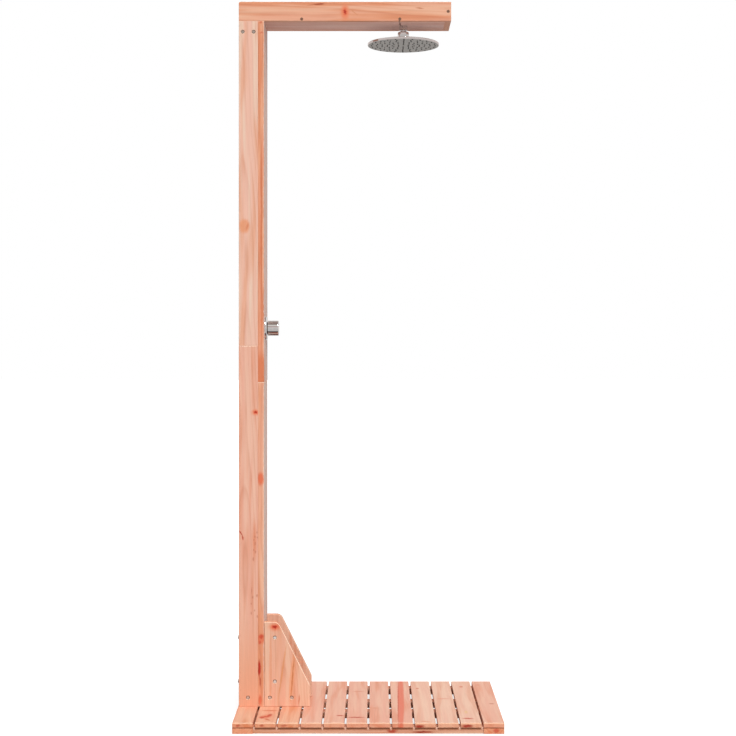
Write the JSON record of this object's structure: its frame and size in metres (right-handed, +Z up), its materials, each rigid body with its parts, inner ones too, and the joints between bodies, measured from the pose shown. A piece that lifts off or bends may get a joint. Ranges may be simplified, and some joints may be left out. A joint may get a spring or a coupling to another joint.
{
  "type": "outdoor shower post",
  "caption": "Free-standing wooden garden shower: slatted deck, board post open at the back, short arm with a round tilting shower head, and a valve knob at hand height.",
  "frame": {"origin": "on the ground, at the middle of everything seen from above", "axes": "+Z up, +X to the front where the user stands, Y across the shower, which is the same on both sides of Y = 0"},
  "size_m": [0.7326, 0.5, 2.0121],
  "materials": {
    "deck_wood": "planed softwood, untreated, reddish",
    "underframe_wood": "planed softwood, untreated, reddish",
    "post_wood": "planed softwood, untreated, reddish",
    "front_board_wood": "planed softwood, untreated, reddish",
    "gusset_wood": "planed softwood, untreated, reddish",
    "arm_wood": "planed softwood, untreated, reddish",
    "zinc_plated_steel": "bright zinc plate",
    "stainless_pipe": "drawn stainless tube, satin",
    "brass_fitting": "machined brass",
    "polished_chrome": "polished chrome plate",
    "clip_plastic": "moulded grey plastic",
    "slip_plastic": "smooth white plastic",
    "seal_rubber": "moulded rubber",
    "spray_face_plastic": "satin grey plastic",
    "nozzle_rubber": "soft dark grey rubber"
  },
  "bodies": {
    "root": {"slat_01": "deck_wood", "slat_02": "deck_wood", "slat_03": "deck_wood", "slat_04": "deck_wood", "slat_05": "deck_wood", "slat_06": "deck_wood", "slat_07": "deck_wood", "slat_08": "deck_wood", "slat_09": "deck_wood", "slat_10": "deck_wood", "slat_11": "deck_wood", "slat_12": "deck_wood", "end_board_back": "underframe_wood", "end_board_front": "underframe_wood", "batten_outer_left": "underframe_wood", "batten_inner_left": "underframe_wood", "batten_inner_right": "underframe_wood", "batten_outer_right": "underframe_wood", "post_left_lower": "post_wood", "post_left_upper": "post_wood", "post_right_lower": "post_wood", "post_right_upper": "post_wood", "front_board_lower": "front_board_wood", "front_board_upper": "front_board_wood", "gusset_left": "gusset_wood", "gusset_right": "gusset_wood", "arm_left": "arm_wood", "arm_right": "arm_wood", "arm_floor": "arm_wood", "arm_end": "arm_wood", "slat_screws": "zinc_plated_steel", "board_screws": "zinc_plated_steel", "pan_screws": "zinc_plated_steel", "base_bolts": "zinc_plated_steel", "gusset_bolts": "zinc_plated_steel", "arm_bolts": "zinc_plated_steel", "barrel_nuts": "zinc_plated_steel", "joint_plates": "zinc_plated_steel", "lower_pipe": "stainless_pipe", "riser_pipe": "stainless_pipe", "arm_pipe": "stainless_pipe", "inlet_elbow": "brass_fitting", "corner_elbow": "brass_fitting", "drop_elbow": "brass_fitting", "compression_nuts": "brass_fitting", "valve_body": "brass_fitting", "valve_cartridge": "brass_fitting", "valve_lock_nut": "brass_fitting", "escutcheon": "polished_chrome", "ball_fitting": "polished_chrome", "pipe_clips": "clip_plastic"},
    "knob": {"valve_knob": "polished_chrome", "valve_spindle": "brass_fitting", "knob_grub_screw": "zinc_plated_steel"},
    "head_swivel": {"seat_ring": "slip_plastic"},
    "head": {"collar_nut": "polished_chrome", "ball_seal": "seal_rubber", "head_shell": "polished_chrome", "face_plate": "spray_face_plastic", "spray_nozzles": "nozzle_rubber"}
  },
  "joints": [
    {"name": "knob_turn", "type": "hinge", "parent": "root", "child": "knob", "pos_m": [-0.2727, 0, 1.0935], "axis": [1, 0, 0], "range_deg": [0, 90]},
    {"name": "head_spin", "type": "hinge", "parent": "root", "child": "head_swivel", "pos_m": [0.0998, 0, 1.929], "axis": [0, 0, 1], "continuous": true},
    {"name": "head_tilt", "type": "hinge", "parent": "head_swivel", "child": "head", "pos_m": [0.0998, 0, 1.929], "axis": [0, 1, 0], "range_deg": [-12, 12]}
  ]
}
